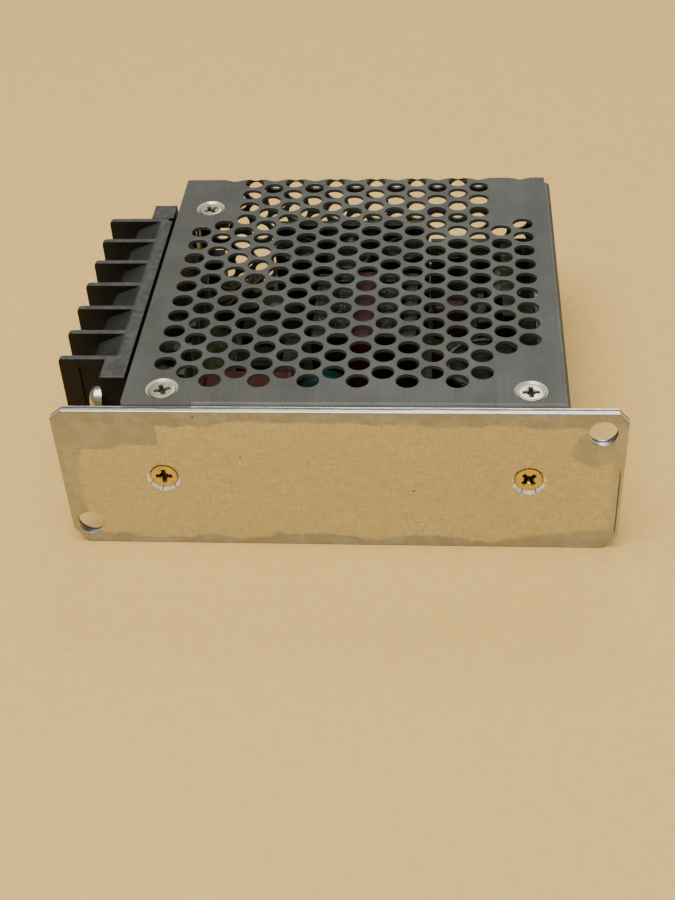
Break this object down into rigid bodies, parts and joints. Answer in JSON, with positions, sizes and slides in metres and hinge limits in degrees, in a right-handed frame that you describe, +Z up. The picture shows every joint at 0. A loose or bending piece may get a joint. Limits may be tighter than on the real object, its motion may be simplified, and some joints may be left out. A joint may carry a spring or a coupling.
{
  "type": "enclosed power supply",
  "caption": "Flat enclosed switching power supply with a perforated grey cover, a screw terminal block on one end and a flat mounting plate.",
  "frame": {"origin": "middle of the bounding box at the base that the unit stands on", "axes": "+Z up through the perforated top, -Y out of the mounting plate, -X out of the terminal end"},
  "size_m": [0.1014, 0.0808, 0.0313],
  "materials": {
    "cover_paint": "satin dark grey paint with fine brushed streaks",
    "tray_aluminium": "mill finish sheet",
    "plate_aluminium": "bare rolled sheet, oxidised and scratched",
    "yellow_zinc": "yellow zinc-plated steel",
    "nickel_plate": "nickel-plated steel",
    "spacer_metal": "plated brass",
    "block_plastic": "moulded, slightly satin",
    "tinned_contact": "tin-plated brass",
    "board_laminate": "olive green laminate with a clear resist",
    "insulation_film": "thin milky film",
    "fuse_glass": "clear tube",
    "red_coating": "dipped epoxy",
    "blue_coating": "dipped epoxy",
    "teal_coating": "dipped epoxy",
    "black_coating": "silicone coat",
    "brown_coating": "dipped epoxy",
    "resistor_coating": "lacquer with colour rings",
    "ferrite": "sintered ferrite",
    "enamelled_copper": null,
    "epoxy": "moulded package with tinned leads",
    "can_aluminium": "drawn can",
    "sleeve_film": "shrunk film",
    "bobbin_plastic": "moulded phenolic",
    "coil_tape": "wrapped polyester tape",
    "band_tape": "dark red-brown polyester tape",
    "sink_aluminium": "mill finish plate",
    "lamp_lens": "diffused epoxy lens",
    "trimmer_shell": "moulded",
    "trimmer_rotor": "moulded"
  },
  "bodies": {
    "root": {"block_screws": "nickel_plate", "block_washers": "nickel_plate", "board_screws": "nickel_plate", "board_standoffs": "spacer_metal", "bridge_rectifier": "epoxy", "bulk_capacitor_can": "can_aluminium", "bulk_capacitor_sleeve": "sleeve_film", "chassis": "tray_aluminium", "circuit_board": "board_laminate", "control_board": "board_laminate", "control_board_chips": "epoxy", "control_circuit": "epoxy", "cover": "cover_paint", "cover_screws": "nickel_plate", "fuse_clips": "tinned_contact", "fuse_end_caps": "nickel_plate", "fuse_tube": "fuse_glass", "inrush_thermistor": "black_coating", "insulating_sheet": "insulation_film", "line_choke_core": "ferrite", "line_choke_windings": "enamelled_copper", "mains_film_capacitor": "red_coating", "mounting_plate": "plate_aluminium", "optocoupler": "epoxy", "output_capacitor_cans": "can_aluminium", "output_capacitor_sleeves": "sleeve_film", "output_choke_core": "ferrite", "output_choke_winding": "enamelled_copper", "output_heat_sink": "sink_aluminium", "output_rectifier": "epoxy", "package_screws": "nickel_plate", "plate_screws": "yellow_zinc", "primary_heat_sink": "sink_aluminium", "resistors": "resistor_coating", "safety_disc_capacitors": "teal_coating", "small_film_capacitors": "brown_coating", "status_led": "lamp_lens", "switching_transistor": "epoxy", "terminal_block_housing": "block_plastic", "terminal_contacts": "tinned_contact", "transformer_bobbin": "bobbin_plastic", "transformer_core": "ferrite", "transformer_tape_band": "band_tape", "transformer_winding": "coil_tape", "trimmer_body": "trimmer_shell", "varistor": "blue_coating"},
    "washer_1": {"terminal_washer_1": "nickel_plate"},
    "screw_1": {"terminal_screw_1": "nickel_plate"},
    "washer_2": {"terminal_washer_2": "nickel_plate"},
    "screw_2": {"terminal_screw_2": "nickel_plate"},
    "washer_3": {"terminal_washer_3": "nickel_plate"},
    "screw_3": {"terminal_screw_3": "nickel_plate"},
    "washer_4": {"terminal_washer_4": "nickel_plate"},
    "screw_4": {"terminal_screw_4": "nickel_plate"},
    "washer_5": {"terminal_washer_5": "nickel_plate"},
    "screw_5": {"terminal_screw_5": "nickel_plate"},
    "washer_6": {"terminal_washer_6": "nickel_plate"},
    "screw_6": {"terminal_screw_6": "nickel_plate"},
    "rotor": {"trimmer_rotor": "trimmer_rotor"}
  },
  "joints": [
    {"name": "terminal_lift_1", "type": "slide", "parent": "root", "child": "washer_1", "axis": [-1, 0, 0], "range_m": [0, 0.0025]},
    {"name": "terminal_turn_1", "type": "hinge", "parent": "washer_1", "child": "screw_1", "pos_m": [-0.04525, -0.01951, 0.0212], "axis": [-1, 0, 0], "range_deg": [0, 1800]},
    {"name": "terminal_lift_2", "type": "slide", "parent": "root", "child": "washer_2", "axis": [-1, 0, 0], "range_m": [0, 0.0025]},
    {"name": "terminal_turn_2", "type": "hinge", "parent": "washer_2", "child": "screw_2", "pos_m": [-0.04525, -0.01143, 0.0212], "axis": [-1, 0, 0], "range_deg": [0, 1800]},
    {"name": "terminal_lift_3", "type": "slide", "parent": "root", "child": "washer_3", "axis": [-1, 0, 0], "range_m": [0, 0.0025]},
    {"name": "terminal_turn_3", "type": "hinge", "parent": "washer_3", "child": "screw_3", "pos_m": [-0.04525, -0.00334, 0.0212], "axis": [-1, 0, 0], "range_deg": [0, 1800]},
    {"name": "terminal_lift_4", "type": "slide", "parent": "root", "child": "washer_4", "axis": [-1, 0, 0], "range_m": [0, 0.0025]},
    {"name": "terminal_turn_4", "type": "hinge", "parent": "washer_4", "child": "screw_4", "pos_m": [-0.04525, 0.00474, 0.0212], "axis": [-1, 0, 0], "range_deg": [0, 1800]},
    {"name": "terminal_lift_5", "type": "slide", "parent": "root", "child": "washer_5", "axis": [-1, 0, 0], "range_m": [0, 0.0025]},
    {"name": "terminal_turn_5", "type": "hinge", "parent": "washer_5", "child": "screw_5", "pos_m": [-0.04525, 0.01282, 0.0212], "axis": [-1, 0, 0], "range_deg": [0, 1800]},
    {"name": "terminal_lift_6", "type": "slide", "parent": "root", "child": "washer_6", "axis": [-1, 0, 0], "range_m": [0, 0.0025]},
    {"name": "terminal_turn_6", "type": "hinge", "parent": "washer_6", "child": "screw_6", "pos_m": [-0.04525, 0.02091, 0.0212], "axis": [-1, 0, 0], "range_deg": [0, 1800]},
    {"name": "output_trim", "type": "hinge", "parent": "root", "child": "rotor", "pos_m": [-0.03155, 0.03515, 0.0117], "axis": [-1, 0, 0], "range_deg": [-135, 135]}
  ],
  "couplings": [
    {"joint": "terminal_turn_1", "follows": "terminal_lift_1", "rad_per_m": 12566},
    {"joint": "terminal_turn_2", "follows": "terminal_lift_2", "rad_per_m": 12566},
    {"joint": "terminal_turn_3", "follows": "terminal_lift_3", "rad_per_m": 12566},
    {"joint": "terminal_turn_4", "follows": "terminal_lift_4", "rad_per_m": 12566},
    {"joint": "terminal_turn_5", "follows": "terminal_lift_5", "rad_per_m": 12566},
    {"joint": "terminal_turn_6", "follows": "terminal_lift_6", "rad_per_m": 12566}
  ]
}
